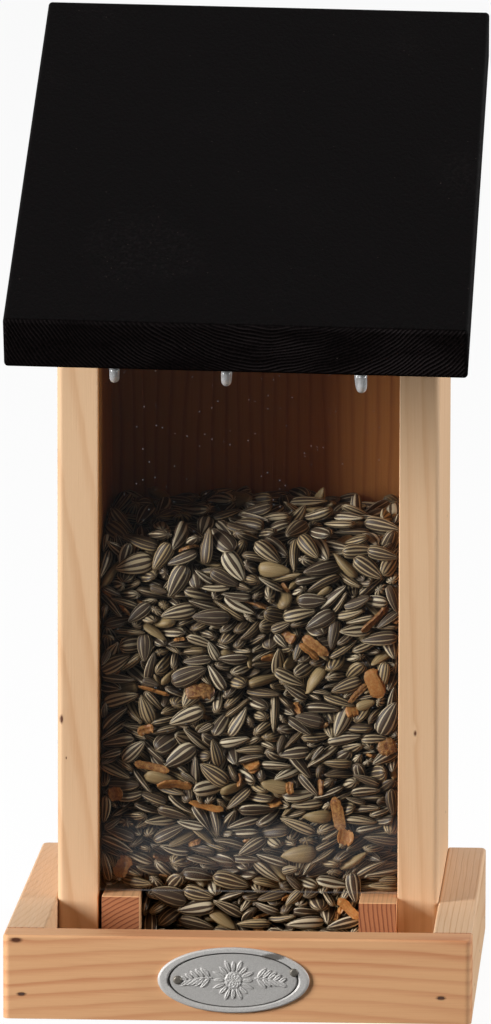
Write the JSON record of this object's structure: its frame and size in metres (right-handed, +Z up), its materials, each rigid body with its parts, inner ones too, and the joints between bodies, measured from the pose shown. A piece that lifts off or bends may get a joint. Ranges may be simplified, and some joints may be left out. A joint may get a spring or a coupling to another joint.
{
  "type": "bird feeder",
  "caption": "Wooden hopper bird feeder with a clear front, a railed seed tray, a hinged sloping roof and hooks under its overhang.",
  "frame": {"origin": "middle of the tray's underside", "axes": "+X to the right seen from the front, +Y to the back, +Z up"},
  "size_m": [0.135, 0.1622, 0.2816],
  "materials": {
    "pine": "sanded, unfinished",
    "pine_end_grain": "sawn end grain",
    "black_stained_wood": "black stain, satin",
    "clear_acrylic": "clear, polished",
    "zinc_plated_steel": "zinc plated",
    "steel_fasteners": "bright steel",
    "cast_badge": "pewter grey, embossed",
    "badge_nails": "dark steel",
    "sunflower_seeds": "dry striped hulls"
  },
  "bodies": {
    "silo": {"base_board": "pine", "tray_front_rail": "pine", "tray_left_rail": "pine", "tray_right_rail": "pine", "left_side_panel": "pine", "right_side_panel": "pine", "back_panel": "pine", "back_batten": "pine", "left_window_block": "pine_end_grain", "right_window_block": "pine_end_grain", "left_hinge_back_leaf": "zinc_plated_steel", "right_hinge_back_leaf": "zinc_plated_steel", "hanger_plate": "zinc_plated_steel", "left_hinge_pin": "steel_fasteners", "right_hinge_pin": "steel_fasteners", "back_hinge_screws": "steel_fasteners", "hanger_screws": "steel_fasteners", "base_screws": "steel_fasteners", "front_rail_brads": "steel_fasteners", "side_rail_brads": "steel_fasteners", "back_panel_brads": "steel_fasteners", "badge_plate": "cast_badge", "badge_nails": "badge_nails", "silo_seeds": "sunflower_seeds", "tray_seeds": "sunflower_seeds"},
    "roof": {"roof_board": "black_stained_wood", "left_hook": "zinc_plated_steel", "centre_hook": "zinc_plated_steel", "right_hook": "zinc_plated_steel", "left_hinge_roof_leaf": "zinc_plated_steel", "right_hinge_roof_leaf": "zinc_plated_steel", "roof_hinge_screws": "steel_fasteners"},
    "window": {"window": "clear_acrylic"}
  },
  "joints": [
    {"name": "roof_hinge", "type": "hinge", "parent": "silo", "child": "roof", "pos_m": [0.00001, 0.075, 0.26688], "axis": [-0.9998, 0, 0.0175], "range_deg": [0, 200]},
    {"name": "window_slide", "type": "slide", "parent": "silo", "child": "window", "axis": [0, 0, 1], "range_m": [0, 0.005]}
  ]
}
